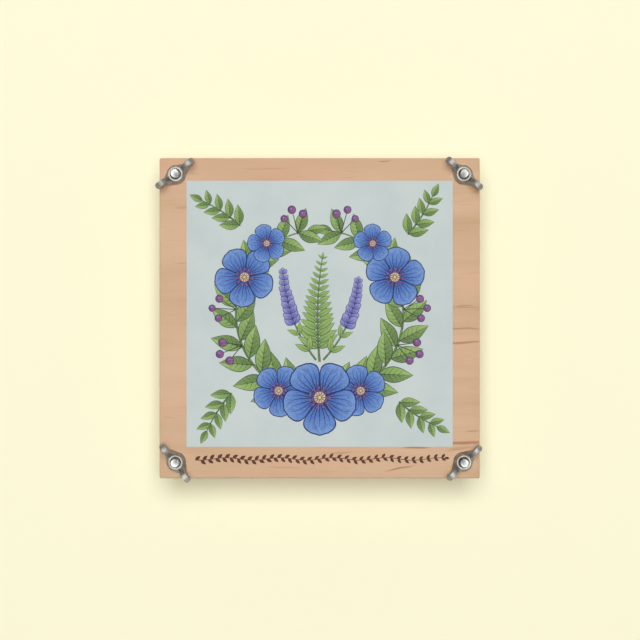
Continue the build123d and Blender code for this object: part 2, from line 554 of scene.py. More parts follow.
def plywood(name, underside, shift, brown_streaks=(), pale_streaks=()):
    """Pale tan plywood: long soft grain on the faces, crossed plies and glue lines on the edges."""
    finish = Finish(name)
    height = finish.parts(finish.coordinates())[2]
    depth = finish.span(height, underside, underside + BOARD_THICKNESS)
    crossing, glue = ply_edges(finish, depth)
    along = wood_grain(finish, shift, crosswise=False)
    across = wood_grain(finish, shift, crosswise=True)
    values = {0: crossing, 2: along, 3: across}
    tone = finish.add("ShaderNodeMix", values, data_type="FLOAT").outputs[0]
    wood = finish.ramp(tone, [
        (0.30, tint(193, 157, 123)),
        (0.42, tint(203, 168, 135)),
        (0.52, tint(206, 172, 140)),
        (0.62, tint(210, 175, 144)),
        (0.74, tint(216, 184, 152)),
    ])
    warm = finish.pattern((14, 55, 55), 2.0, 0.5, shift=shift)
    wood = finish.overlay(wood, warm, 0.48, 0.74, 0.6, tint(210, 166, 138))
    flecks = finish.pattern((70, 1300, 1300), 0.0, shift=shift)
    wood = finish.overlay(wood, flecks, 0.70, 0.82, 0.28, tint(176, 132, 102))
    stains = finish.pattern((26, 300, 300), 1.0, 0.4, 0.5, shift)
    wood = finish.overlay(wood, stains, 0.75, 0.84, 0.45, tint(160, 112, 84))
    for streak in pale_streaks:
        wood = finish.mix(face_streak(finish, *streak), wood, tint(217, 182, 152))
    for streak in brown_streaks:
        wood = finish.mix(face_streak(finish, *streak), wood, tint(156, 100, 70))
    wood = finish.mix(finish.calc("MULTIPLY", crossing, 0.55), wood, tint(176, 136, 104))
    wood = finish.mix(finish.calc("MULTIPLY", glue, 0.7), wood, tint(112, 78, 56))
    finish.colour(wood)
    finish.dull_by(tone, 0.68, 0.54)
    finish.gloss(0.3)
    finish.relief(tone, 0.2, 0.12 * MM)
    return finish.material


def steel_clouds(finish, greys):
    """The cloudy grey of zinc plate, from dark to light; returns the clouds."""
    clouds = finish.pattern(260, 3.0, 0.6)
    tints = [tint(grey, grey - 1, grey - 5) for grey in greys]
    finish.colour(finish.ramp(clouds, list(zip(STEEL_STOPS, tints))))
    return clouds


def bolt_steel():
    """Zinc plated steel with a smooth satin."""
    finish = Finish("bolt_steel")
    finish.shader.inputs["Metallic"].default_value = 1.0
    finish.dull_by(steel_clouds(finish, BOLT_GREYS), *BOLT_ROUGHNESS)
    finish.relief(finish.pattern(2400, 2.0, 0.6), 0.1, STEEL_PITS)
    return finish.material


def nut_steel():
    """Zinc plated casting: dull and pitted, and brighter where the boss is faced off."""
    finish = Finish("nut_steel")
    faced = finish.add("ShaderNodeAttribute", attribute_name=FACED).outputs["Fac"]
    clouds = steel_clouds(finish, NUT_GREYS)
    cast = finish.span(clouds, PATTERN_LOW, PATTERN_HIGH, *CAST_ROUGHNESS)
    finish.dull(finish.span(faced, 0.0, 1.0, cast, FACED_ROUGHNESS))
    finish.feed(finish.shader.inputs["Metallic"], finish.span(faced, 0.0, 1.0, CAST_METAL, 1.0))
    finish.relief(finish.pattern(1500, 2.0, 0.6), 0.3, STEEL_PITS)
    return finish.material


def kraft_card():
    """Brown kraft board with fibres and darker specks."""
    finish = Finish("kraft_card")
    mottle = finish.pattern(160, 4.0, 0.65)
    fibres = finish.pattern((420, 2600, 1500), 2.0, 0.6)
    specks = finish.pattern(1500, 0.0)
    brown = finish.shades(mottle, (164, 122, 82), (182, 140, 98), (196, 156, 114))
    brown = finish.overlay(brown, fibres, 0.58, 0.72, 0.35, tint(214, 180, 138))
    brown = finish.overlay(brown, specks, 0.72, 0.80, 0.5, tint(104, 72, 46))
    finish.colour(brown)
    finish.dull_by(mottle, 0.92, 0.8)
    finish.gloss(0.2)
    finish.relief(fibres, 0.3, 0.08 * MM)
    return finish.material


def felted_paper():
    """Soft off-white blotting paper with a felted surface."""
    finish = Finish("blotting_paper")
    felt = finish.pattern(700, 4.0, 0.7)
    cloudy = finish.pattern(60, 2.0, 0.5)
    white = finish.shades(felt, (226, 220, 203), (238, 233, 219), (245, 242, 231))
    finish.colour(finish.overlay(white, cloudy, 0.45, 0.75, 0.35, tint(228, 219, 196)))
    finish.dull_by(felt, 0.97, 0.88)
    finish.gloss(0.1)
    finish.relief(felt, 0.4, 0.1 * MM)
    return finish.material


def sheet_ground():
    """The printed sheet's pale grey-green ground, with a faint paper tooth."""
    finish = Finish("sheet_ground")
    tooth = finish.pattern(1400, 2.0, 0.6)
    wash = finish.pattern(35, 3.0, 0.55)
    ground = finish.shades(wash, (190, 201, 199), (195, 205, 203), (200, 208, 204))
    finish.colour(finish.overlay(ground, tooth, 0.35, 0.65, 0.12, tint(182, 193, 190)))
    finish.dull_by(tooth, 0.62, 0.5)
    finish.gloss(0.3)
    finish.relief(tooth, 0.12, 0.03 * MM)
    return finish.material


def dry_ink(finish, tooth):
    """The dry, slightly uneven surface of printed ink."""
    finish.dull_by(tooth, 0.6, 0.48)
    finish.gloss(0.3)


def shaded_ink(name, foot, middle, tip, hatch, hatch_share, strokes):
    """Printed ink that runs from foot to tip, with fine strokes drawn along it."""
    finish = Finish(name)
    along, across, _ = finish.parts(finish.add("ShaderNodeUVMap", uv_map=INK_MAP).outputs[0])
    base = finish.ramp(along, [(0.05, tint(*foot)), (0.45, tint(*middle)), (0.95, tint(*tip))])
    run = finish.calc("MULTIPLY", along, HATCH_RUN)
    side = finish.calc("MULTIPLY", across, strokes)
    lines = finish.cloud(finish.vector(run, side, 0.0), 2.0, 0.6)
    base = finish.overlay(base, lines, 0.5, 0.66, hatch_share, tint(*hatch))
    tooth = finish.pattern(1400, 2.0, 0.6)
    finish.colour(finish.overlay(base, tooth, 0.4, 0.7, 0.15, tint(197, 207, 202)))
    dry_ink(finish, tooth)
    return finish.material


def line_ink(name, deep, worn):
    """Dark printed line ink, a little uneven."""
    finish = Finish(name)
    tooth = finish.pattern(900, 3.0, 0.6)
    finish.colour(finish.ramp(tooth, [(0.35, tint(*deep)), (0.72, tint(*worn))]))
    dry_ink(finish, tooth)
    return finish.material


# Boards


def board_blank(low, high):
    """A board with softly rounded edges."""
    return box_form(low, high, BOARD_EDGE_ROUND, BOARD_EDGE_STEPS)


def at_bolts(make):
    """One form made at each of the four bolts."""
    forms = []
    for axis in BOLT_AXES.values():
        form = make()
        bmesh.ops.translate(form, verts=form.verts, vec=axis)
        forms.append(form)
    return forms


def make_boards():
    """Both boards, with the holes, sockets and sunk seats of the solids."""
    under = BOTTOM_LOW.z - OVERRUN
    half = SOCKET_SIDE / 2
    socket = ((-half, -half, under), (half, half, BOTTOM_HIGH.z + OVERRUN))
    seat = (RECESS_RADIUS, under, BOTTOM_LOW.z + RECESS_DEPTH)
    hole = (BOLT_HOLE_RADIUS, TOP_LOW.z - OVERRUN, TOP_HIGH.z + OVERRUN)
    sockets = at_bolts(lambda: box_form(*socket))
    seats = at_bolts(lambda: cylinder_form(*seat))
    holes = at_bolts(lambda: cylinder_form(*hole))
    bottom_blank = board_blank(BOTTOM_LOW, BOTTOM_HIGH)
    top_blank = board_blank(TOP_LOW, TOP_HIGH)
    bottom = combined("bottom_plywood", bottom_blank, seats + sockets, "DIFFERENCE")
    top = combined("top_plywood", top_blank, holes, "DIFFERENCE")
    for mesh in (bottom, top):
        soften(mesh, BOARD_SHARP)
    bottom_wood = plywood("bottom_plywood", BOTTOM_LOW.z, BOTTOM_CUT)
    top_wood = plywood("top_plywood", TOP_LOW.z, TOP_CUT, BROWN_STREAKS, PALE_STREAKS)
    piece("bottom_plywood", bottom, bottom_wood, "base", ["bottom_board"])
    piece("top_plywood", top, top_wood, "press_top", ["top_board"])


# Bolts


def thread_rule():
    """A shank on Z: plain up to the thread's start, with a chamfered and crowned end."""
    rule = Rule("threaded_shank", {
        "Thread radius": FLOAT, "Root radius": FLOAT, "Pitch": FLOAT, "Foot": FLOAT, "Start": FLOAT,
        "End": FLOAT, "Chamfer": FLOAT, "Crown": FLOAT, "Sides": WHOLE, "Rings": WHOLE,
        "Finish": FINISH,
    })
    given = rule.given
    length = rule.calc("SUBTRACT", given["End"], given["Foot"])
    values = {"Vertices": given["Sides"], "Side Segments": given["Rings"]}
    values.update({"Fill Segments": TIP_RINGS, "Radius": 1.0, "Depth": length})
    tube = rule.add("GeometryNodeMeshCylinder", values, fill_type="TRIANGLE_FAN").outputs["Mesh"]
    x, y, z = rule.parts(rule.add("GeometryNodeInputPosition").outputs[0])
    middle = rule.calc("MULTIPLY", rule.calc("ADD", given["End"], given["Foot"]), 0.5)
    level = rule.calc("ADD", z, middle)
    bearing = rule.calc("DIVIDE", rule.calc("ARCTAN2", y, x), 2 * math.pi)
    turn = rule.calc("SUBTRACT", rule.calc("DIVIDE", level, given["Pitch"]), bearing)
    saw = rule.calc("ABSOLUTE", rule.calc("SUBTRACT", rule.calc("FRACT", turn), 0.5))
    flank = rule.calc("MULTIPLY_ADD", saw, THREAD_STEEPNESS, -THREAD_ROOT_FLAT)
    crest = rule.calc("MINIMUM", rule.calc("MAXIMUM", flank, 0.0), 1.0)
    rise = rule.calc("SUBTRACT", given["Thread radius"], given["Root radius"])
    radius = rule.calc("MULTIPLY_ADD", crest, rise, given["Root radius"])
    from_start = rule.calc("MAXIMUM", rule.calc("SUBTRACT", level, given["Start"]), 0.0)
    radius = rule.calc("MINIMUM", radius, rule.calc("ADD", given["Root radius"], from_start))
    to_end = rule.calc("SUBTRACT", given["End"], level)
    tip = rule.calc("ADD", rule.calc("SUBTRACT", given["Thread radius"], given["Chamfer"]), to_end)
    radius = rule.calc("MINIMUM", radius, tip)
    out = rule.calc("MULTIPLY_ADD", x, x, rule.calc("MULTIPLY", y, y))
    crowned = rule.calc("MULTIPLY_ADD", rule.calc("SUBTRACT", 1.0, out), given["Crown"], level)
    place = rule.vector(rule.calc("MULTIPLY", x, radius), rule.calc("MULTIPLY", y, radius), crowned)
    shaped = rule.add("GeometryNodeSetPosition", {"Geometry": tube, "Position": place}).outputs[0]
    rule.end(shaped)
    return rule


def bolt_head_form():
    """The low domed head of a carriage bolt."""
    seat = RECESS_DEPTH
    dome_rise = seat - HEAD_SINK - HEAD_RIM
    ball = (HEAD_RADIUS ** 2 + dome_rise ** 2) / (2 * dome_rise)
    profile = []
    for step in range(HEAD_STEPS + 1):
        radius = HEAD_RADIUS * step / HEAD_STEPS
        profile.append((radius, HEAD_SINK + ball - math.sqrt(ball ** 2 - radius ** 2)))
    profile += [(HEAD_RADIUS, seat), (0, seat)]
    return turned_form(profile)


def bolt_neck_form():
    """The square neck that keeps the bolt from turning."""
    half = NECK_SIDE / 2
    low = (-half, -half, RECESS_DEPTH - OVERRUN)
    high = (half, half, NECK_TOP)
    return box_form(low, high, NECK_ROUND, NECK_ROUND_STEPS)


def make_bolts():
    """Four carriage bolts with cut threads."""
    steel = bolt_steel()
    foot = NECK_TOP - OVERRUN
    rings = round((BOLT_END - foot) / THREAD_PITCH * THREAD_STEPS)
    shank = thread_rule().grow("threaded_shank", {
        "Thread radius": THREAD_RADIUS, "Root radius": THREAD_ROOT_RADIUS, "Pitch": THREAD_PITCH,
        "Foot": foot, "Start": NECK_TOP + THREAD_PITCH / 2, "End": BOLT_END - TIP_CROWN,
        "Chamfer": TIP_CHAMFER, "Crown": TIP_CROWN, "Sides": THREAD_SIDES, "Rings": rings,
        "Finish": steel,
    })
    shank_form = bmesh.new()
    shank_form.from_mesh(shank)
    whole = combined("carriage_bolt", bolt_head_form(), [bolt_neck_form(), shank_form], "UNION")
    soften(whole, BOLT_SHARP)
    for place, axis in BOLT_AXES.items():
        mesh = whole.copy()
        mesh.transform(Matrix.Translation(axis))
        node = f"carriage_bolt_{place}"
        piece(f"threaded_bolt_{place}", mesh, steel, "base", [node])


# Wing nuts


def cast_nut():
    """A nut on its own axis, wings along X: the solid's shape with the soft edges of a casting."""
    form = bmesh.new()
    form.from_mesh(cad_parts["wing_nut_front_right"].data)
    bmesh.ops.remove_doubles(form, verts=form.verts, dist=WELD)
    home = Matrix.Rotation(-math.radians(NUT_TURNS["front_right"]), 4, "Z")
    home = home @ Matrix.Translation(-BOLT_AXES["front_right"] - Vector((0, 0, TOP_HIGH.z)))
    bmesh.ops.transform(form, matrix=home, verts=form.verts)
    blank = in_scene("nut_blank", mesh_of(form, "nut_blank"))
    remesh = blank.modifiers.new("casting", "REMESH")
    remesh.mode = "VOXEL"
    remesh.voxel_size = NUT_GRAIN
    cast = plain_mesh(blank, "cast_nut")
    main_shell(cast)
    for vertex in cast.vertices:
        reach = math.hypot(vertex.co.x, vertex.co.y)
        share = min(max(vertex.co.z / NUT_HEIGHT, 0.0), 1.0)
        if reach < NUT_MOUTH_RADIUS:
            vertex.co.z = min(vertex.co.z, NUT_HEIGHT - (NUT_MOUTH_RADIUS - reach))
        if reach > NUT_BORE_REACH:
            vertex.co.y *= 1 - NUT_WAIST * math.sin(math.pi * share ** NUT_WAIST_DROP)
    soft = in_scene("cast_nut", cast)
    smooth = soft.modifiers.new("soft edges", "SMOOTH")
    smooth.factor = NUT_SOFTNESS
    smooth.iterations = NUT_SMOOTHING
    mesh = plain_mesh(soft, "cast_nut")
    mesh.shade_smooth()
    faced = mesh.attributes.new(FACED, "FLOAT", "POINT")
    for vertex, mark in zip(mesh.vertices, faced.data):
        reach = math.hypot(vertex.co.x, vertex.co.y)
        mark.value = float(reach < NUT_FACE_RADIUS and vertex.co.z > NUT_HEIGHT - NUT_FACE_DEPTH)
    return mesh


def make_nuts():
    """Four wing nuts, each turned as it was left."""
    steel = nut_steel()
    nut = cast_nut()
    for place, axis in BOLT_AXES.items():
        mesh = nut.copy()
        turn = Matrix.Rotation(math.radians(NUT_TURNS[place]), 4, "Z")
        mesh.transform(Matrix.Translation(axis + Vector((0, 0, TOP_HIGH.z))) @ turn)
        node = f"wing_nut_{place}"
        piece(f"cast_{node}", mesh, steel, node, [node])


# Loose sheets


def card_rule():
    """A corrugated card, flutes along Y: two liners and a waved medium with clipped corners."""
    rule = Rule("corrugated_card", {
        "Side": FLOAT, "Clip": FLOAT, "Thickness": FLOAT, "Liner": FLOAT, "Medium": FLOAT,
        "Bond": FLOAT, "Flutes": WHOLE, "Steps": WHOLE, "Finish": FINISH,
    })
    given = rule.given
    half = rule.calc("MULTIPLY", given["Side"], 0.5)
    columns = rule.calc("ADD", rule.calc("MULTIPLY", given["Flutes"], given["Steps"]), 1)
    # The grid goes from -1 to 1 on Y, and the outline draws it out
    values = {"Size X": given["Side"], "Size Y": 2.0, "Vertices X": columns, "Vertices Y": 2}
    grid = rule.add("GeometryNodeMeshGrid", values).outputs["Mesh"]
    x, y, _ = rule.parts(rule.add("GeometryNodeInputPosition").outputs[0])
    within = rule.calc("SUBTRACT", given["Side"], given["Clip"])
    clipped = rule.calc("SUBTRACT", within, rule.calc("ABSOLUTE", x))
    reach = rule.calc("MULTIPLY", y, rule.calc("MINIMUM", half, clipped))
    share = rule.calc("DIVIDE", rule.calc("ADD", x, half), given["Side"])
    phase = rule.calc("MULTIPLY", rule.calc("MULTIPLY", share, given["Flutes"]), 2 * math.pi)
    inside = rule.calc("SUBTRACT", given["Thickness"], rule.calc("MULTIPLY", given["Liner"], 2.0))
    room = rule.calc("SUBTRACT", inside, given["Medium"])
    swing = rule.calc("MULTIPLY_ADD", room, 0.5, given["Bond"])
    wave = rule.calc("MULTIPLY", rule.calc("SUBTRACT", 1.0, rule.calc("COSINE", phase)), swing)
    bond_level = rule.calc("SUBTRACT", given["Liner"], given["Bond"])
    layers = [
        (0.0, given["Liner"]),
        (rule.calc("ADD", wave, bond_level), given["Medium"]),
        (rule.calc("SUBTRACT", given["Thickness"], given["Liner"]), given["Liner"]),
    ]
    joined = rule.add("GeometryNodeJoinGeometry")
    for level, thickness in layers:
        place = rule.vector(x, reach, level)
        values = {"Geometry": grid, "Position": place}
        sheet = rule.add("GeometryNodeSetPosition", values).outputs[0]
        values = {"Mesh": sheet, "Offset": rule.vector(0.0, 0.0, thickness), "Individual": False}
        upper = rule.add("GeometryNodeExtrudeMesh", values).outputs["Mesh"]
        under = rule.add("GeometryNodeFlipFaces", {"Mesh": sheet}).outputs[0]
        both = rule.add("GeometryNodeJoinGeometry")
        rule.feed(both.inputs[0], under)
        rule.feed(both.inputs[0], upper)
        values = {"Geometry": both.outputs[0], "Distance": WELD}
        shell = rule.add("GeometryNodeMergeByDistance", values).outputs[0]
        rule.feed(joined.inputs[0], shell)
    rule.end(joined.outputs[0])
    return rule


def lie(mesh, name, rng, quarter_turn=False):
    """Lays a sheet where its solid lies, a little out of line as loose sheets are."""
    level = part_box(name)[0].z
    turn = math.radians(rng.uniform(-SHEET_TURN, SHEET_TURN))
    if quarter_turn:
        turn += math.pi / 2
    x = rng.uniform(-SHEET_SLIP, SHEET_SLIP) * MM
    y = rng.uniform(-SHEET_SLIP, SHEET_SLIP) * MM
    mesh.transform(Matrix.Translation((x, y, level)) @ Matrix.Rotation(turn, 4, "Z"))


def make_cards(rng):
    """Five corrugated cards, their flutes crossing from one to the next."""
    kraft = kraft_card()
    low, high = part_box("corrugated_card_1")
    card = card_rule().grow("corrugated_card", {
        "Side": SHEET_SIDE, "Clip": CORNER_CLIP, "Thickness": high.z - low.z, "Liner": CARD_LINER,
        "Medium": CARD_MEDIUM, "Bond": CARD_BOND, "Flutes": FLUTE_COUNT, "Steps": FLUTE_STEPS,
        "Finish": kraft,
    })
    soften(card, CARD_SHARP)
    for number in range(1, CARD_COUNT + 1):
        name = f"corrugated_card_{number}"
        mesh = card.copy()
        lie(mesh, name, rng, number % 2 == 0)
        piece(f"fluted_card_{number}", mesh, kraft, name, [name])


def paper_form(thickness, rng):
    """A sheet with clipped corners whose cut edges are a little fibrous."""
    half = SHEET_SIDE / 2
    near = half - CORNER_CLIP
    corners = [(half, -near), (half, near), (near, half), (-near, half)]
    corners += [(-half, near), (-half, -near), (-near, -half), (near, -half)]
    points = []
    for start, end in zip(corners, corners[1:] + corners[:1]):
        steps = round(math.dist(start, end) / PAPER_EDGE_STEP)
        for step in range(steps):
            share = step / steps
            ragged = rng.uniform(*PAPER_RAGGED) * MM
            x = start[0] + (end[0] - start[0]) * share
            y = start[1] + (end[1] - start[1]) * share
            stretch = 1 + ragged / math.hypot(x, y)
            points.append((x * stretch, y * stretch))
    form = bmesh.new()
    prism(form, points, 0, thickness)
    return form


def make_papers(rng):
    """Eight blotting papers, in pairs between the cards."""
    paper = felted_paper()
    low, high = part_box("blotting_paper_1")
    for number in range(1, PAPER_COUNT + 1):
        name = f"blotting_paper_{number}"
        mesh = mesh_of(paper_form(high.z - low.z, rng), name)
        lie(mesh, name, rng)
        piece(f"felted_paper_{number}", mesh, paper, name, [name])


# Printed plate: a wreath of five-petalled flowers, with fern and lavender inside it

PRINT_SEED = 5
INK_STEP = 0.003 * MM
INK_SINK = 0.1 * MM

# Layers of ink, lowest first, and how far one shape lies above the next
STEM_LAYER = 1
LEAF_LAYER = 3
LEAF_RISE = 3
LEAF_TIERS = 4
LEAF_STACK = LEAF_RISE * LEAF_TIERS
BERRY_LAYER = 29
PETAL_LAYER = 34
PETAL_RISE = 3
EYE_LAYER = 52
FLOWER_RISE = 24

# Shapes along X in millimetres: length, half width, how far out they are fullest, how pointed
# they are, and where they start
PETAL_SHAPE = (12.5, 5.6, 1.75, 0.62, 1.0)
LEAF_SHAPE = (18.0, 4.0, 0.82, 1.0, 0.6)
LEAFLET_SHAPE = (9.0, 1.55, 0.75, 0.9, 0.3)
FLORET_SHAPE = (4.6, 1.5, 1.1, 0.8, 0.3)
TWIG_LEAF_SHAPE = (3.6, 0.95, 0.8, 0.9, 0.2)

# Steps along a shape, along a stem and along a branch of the wreath
BLADE_STEPS = 14
STEM_STEPS = 24
BRANCH_STEPS = 60

# Width of the dark line round a shape
PETAL_LINE = 0.44
LEAF_LINE = 0.4
LEAFLET_LINE = 0.27
FLORET_LINE = 0.28
BERRY_LINE = 0.35

# Widths of drawn lines at their start and end
PETAL_VEIN_WIDTHS = (0.42, 0.08)
LEAF_RIB_WIDTHS = (0.5, 0.1)
SIDE_VEIN_WIDTHS = (0.3, 0.08)
LEAFLET_RIB_WIDTHS = (0.24, 0.06)
CREASE_WIDTHS = (0.2, 0.06)
STAMEN_WIDTHS = (0.36, 0.26)
STALK_WIDTHS = (0.55, 0.4)
BRANCH_WIDTHS = (1.3, 0.5)
FROND_WIDTHS = (1.0, 0.3)
SPRIG_WIDTHS = (0.8, 0.35)
TWIG_WIDTHS = (0.45, 0.35)

# Lines drawn along the small shapes, and the round end of a stamen
LEAF_RIB = ((-1.2, 0), (9.0, 0), (17.46, 0))
LEAFLET_RIB = ((0, 0), (4, 0), (8.2, 0))
FLORET_CREASE = ((0.4, 0), (2.0, 0), (3.6, 0))
STAMEN_PATH = ((0.6, 0), (2.0, 0.12), (3.4, 0))
STAMEN_END = (3.5, 0)
STAMEN_END_RADIUS = 0.52

# Veins of a petal: share of its half width and of its length at their end; all start at one share
PETAL_VEINS = ((-0.66, 0.7), (-0.36, 0.86), (0.0, 0.8), (0.36, 0.86), (0.66, 0.7))
PETAL_VEIN_START = 0.12

# Steps along a leaf at which a pair of side veins starts, how many steps on it ends, and how near
# to the edge
SIDE_VEINS = (2, 4, 6, 8)
SIDE_VEIN_STEPS = 2
SIDE_VEIN_REACH = 0.86

# How much wider than a stem its dark edge is, at the foot and at the tip
STEM_EDGE = (0.4, 0.3)

# A flower: petals, stamens and their turn in degrees, and the radii of throat, line and eye
PETAL_COUNT = 5
STAMEN_COUNT = 11
STAMEN_TURN = 9
THROAT_RADIUS = 6.0
EYE_LINE_RADIUS = 2.5
EYE_RADIUS = 2.1

# How much of an ink's run from foot to tip a dot shows, and the steps of a dot and of a small one
DOT_RUN = 0.45
DOT_STEPS = 20
SMALL_DOT_STEPS = 10

# The wreath: bearings of each branch's foot and tip, and its rows of leaves, with their lean, how
# far from the foot they start, layer and seed, and how far from the tip they end
WREATH_RADIUS = 47.0
BRANCHES = ((-84, 81), (264, 99))
LEAF_ROWS = ((46, 4, 0, 7), (-46, 11, LEAF_STACK, 14))
TIP_GAP = 6

# Flowers on the wreath: bearing, push outwards, size, turn and layer
FLOWERS = (
    (-62, 2.0, 1.08, 31, 0),
    (-118, 2.0, 1.08, 60, 0),
    (26, 0.0, 1.24, 12, 0),
    (154, 0.0, 1.24, 47, 0),
    (53, 2.5, 0.8, 20, FLOWER_RISE),
    (127, 2.5, 0.8, 33, FLOWER_RISE),
    (-90, 0.0, 1.55, 54, FLOWER_RISE),
)

# Berries: bearings of the clusters, push and swing of each berry, least and largest radius, and
# the place and radius of its highlight
BERRY_BEARINGS = (-22, 202, 75, 105, 3, 177)
BERRY_CLUSTER = ((10.0, -5.5), (13.5, 0.0), (10.0, 5.5))
BERRY_SIZES = (1.7, 2.1)
BERRY_LIGHT = (-0.5, 0.6)
BERRY_LIGHT_RADIUS = 0.5

# Stems inside the wreath, about the sheet's middle: foot, pull and tip
FROND = ((0, -27), (-3, 4), (1.5, 31))
SPRIGS = (((-2, -26), (-18, -6), (-20.5, 22)), ((2, -26), (19, -8), (21.5, 17)))

# Steps along these stems: bare at the foot, the end of a sprig's leaves and the start of its head
BARE_STEPS = 3
SPRIG_LEAF_END = 9
SPRIG_HEAD_START = 11

# Sprigs in the corners: bearings, distance and swing of foot, pull and tip, and the steps that stay
# bare at the tip
CORNER_BEARINGS = (45, 135, 225, 315)
CORNER_STEM = ((67, -3), (79, -2), (91, 1))
CORNER_BARE_STEPS = 4

# The twig border about the sheet's middle: half length, place on Y, swing and wave
BORDER_HALF = 70
BORDER_Y = -81.6
BORDER_SWING = 0.7
BORDER_WAVE = 0.21
BORDER_STEPS = 90

# Shaded inks: tints of foot, middle, tip and hatching, share of the hatching and its strokes
SHADED_INKS = {
    "petal_blue": ((44, 76, 148), (70, 110, 182), (112, 148, 204), (40, 68, 140), 0.55, 7.0),
    "lavender": ((88, 84, 150), (118, 116, 182), (160, 160, 210), (84, 76, 140), 0.4, 5.0),
    "leaf_light": ((112, 142, 74), (134, 164, 88), (152, 178, 104), (100, 128, 64), 0.4, 6.0),
    "leaf_dark": ((86, 112, 56), (98, 126, 64), (116, 144, 78), (76, 100, 50), 0.4, 6.0),
    "plum": ((96, 44, 92), (124, 62, 116), (142, 84, 136), (82, 36, 80), 0.4, 3.0),
    "eye": ((196, 178, 120), (206, 190, 134), (216, 202, 152), (168, 142, 84), 0.4, 4.0),
}

# Line inks: deep tint and worn tint
LINE_INKS = {
    "navy_line": ((28, 36, 78), (44, 54, 100)),
    "green_line": ((42, 58, 34), (62, 80, 48)),
    "brown_line": ((66, 36, 26), (100, 64, 48)),
}


class Plate:
    """The flat shapes of one ink, each a thin closed plate let into the sheet it is printed on."""

    def __init__(self):
        self.form = bmesh.new()
        self.map = self.form.loops.layers.uv.new(INK_MAP)

    def add(self, points, layer, marks):
        """A shape in millimetres, up to its layer; marks say how far along and across it runs."""
        area = sum(a[0] * b[1] - b[0] * a[1] for a, b in zip(points, points[1:] + points[:1]))
        if area < 0:
            points = points[::-1]
            marks = marks[::-1]
        corners = [(x * MM, y * MM) for x, y in points]
        low, high, faces = prism(self.form, corners, -INK_SINK, layer * INK_STEP)
        mark_of = dict(zip(low + high, marks + marks))
        for face in faces:
            for loop in face.loops:
                loop[self.map].uv = mark_of[loop.vert]

    def merge(self, mesh):
        """Takes in the plates of a mesh."""
        self.form.from_mesh(mesh)
        bpy.data.meshes.remove(mesh)


def blade(length, half_width, fullness, pointedness, start):
    """A leaf or petal along X: its two edges from foot to tip, and how far along points lie."""
    near, far, shares = [], [], []
    for step in range(BLADE_STEPS + 1):
        share = step / BLADE_STEPS
        width = half_width * max(0.0, math.sin(math.pi * share ** fullness)) ** pointedness
        x = start + length * share
        near.append((x, width))
        far.append((x, -width))
        shares.append(share)
    return near, far, shares


def closed_blade(plate, layer, *shape):
    """A whole leaf or petal as one plate."""
    near, far, shares = blade(*shape)
    points = near + far[-2:0:-1]
    marks = [(share, 1.0) for share in shares] + [(share, -1.0) for share in shares[-2:0:-1]]
    plate.add(points, layer, marks)


def half_blade(plate, layer, side, *shape):
    """One half of a leaf, from its midrib to its edge."""
    near, far, shares = blade(*shape)
    edge = near if side > 0 else far
    rib_middle = ((edge[0][0] + edge[-1][0]) / 2, 0)
    marks = [(share, side) for share in shares] + [(0.5, 0.0)]
    plate.add(edge + [rib_middle], layer, marks)


def stroke(plate, layer, path, start_width, end_width):
    """A drawn line along a path, thinning from its start to its end."""
    left, right, marks = [], [], []
    last = len(path) - 1
    for index, (x, y) in enumerate(path):
        before = path[max(index - 1, 0)]
        after = path[min(index + 1, last)]
        run = math.dist(before, after)
        across = ((before[1] - after[1]) / run, (after[0] - before[0]) / run)
        share = index / last
        half = (start_width + (end_width - start_width) * share) / 2
        left.append((x + across[0] * half, y + across[1] * half))
        right.append((x - across[0] * half, y - across[1] * half))
        marks.append((share, 1.0))
    plate.add(left + right[::-1], layer, marks + marks[::-1])


def disc(plate, layer, middle, radius, steps=DOT_STEPS):
    """A round dot."""
    points, marks = [], []
    for step in range(steps):
        bearing = 2 * math.pi * step / steps
        across, up = math.cos(bearing), math.sin(bearing)
        points.append((middle[0] + radius * across, middle[1] + radius * up))
        marks.append((0.5 + DOT_RUN * across, up))
    plate.add(points, layer, marks)


def curved_path(points):
    """A smooth path from a foot to a tip, bent towards the point between them in the list."""
    (foot_x, foot_y), (pull_x, pull_y), (tip_x, tip_y) = points
    path = []
    for step in range(STEM_STEPS + 1):
        run = step / STEM_STEPS
        rest = 1 - run
        x = rest * rest * foot_x + 2 * rest * run * pull_x + run * run * tip_x
        y = rest * rest * foot_y + 2 * rest * run * pull_y + run * run * tip_y
        path.append((x, y))
    return path


def at_bearing(radius, degrees):
    """A point on a circle about the sheet's middle."""
    bearing = math.radians(degrees)
    return (radius * math.cos(bearing), radius * math.sin(bearing))


def branch_path(start, end, inset=0, tip_gap=0):
    """Part of the wreath's ring between two bearings, drawn in at each end; all in degrees."""
    way = math.copysign(1, end - start)
    start = start + way * inset
    end = end - way * tip_gap
    path = []
    for step in range(BRANCH_STEPS + 1):
        path.append(at_bearing(WREATH_RADIUS, start + (end - start) * step / BRANCH_STEPS))
    return path


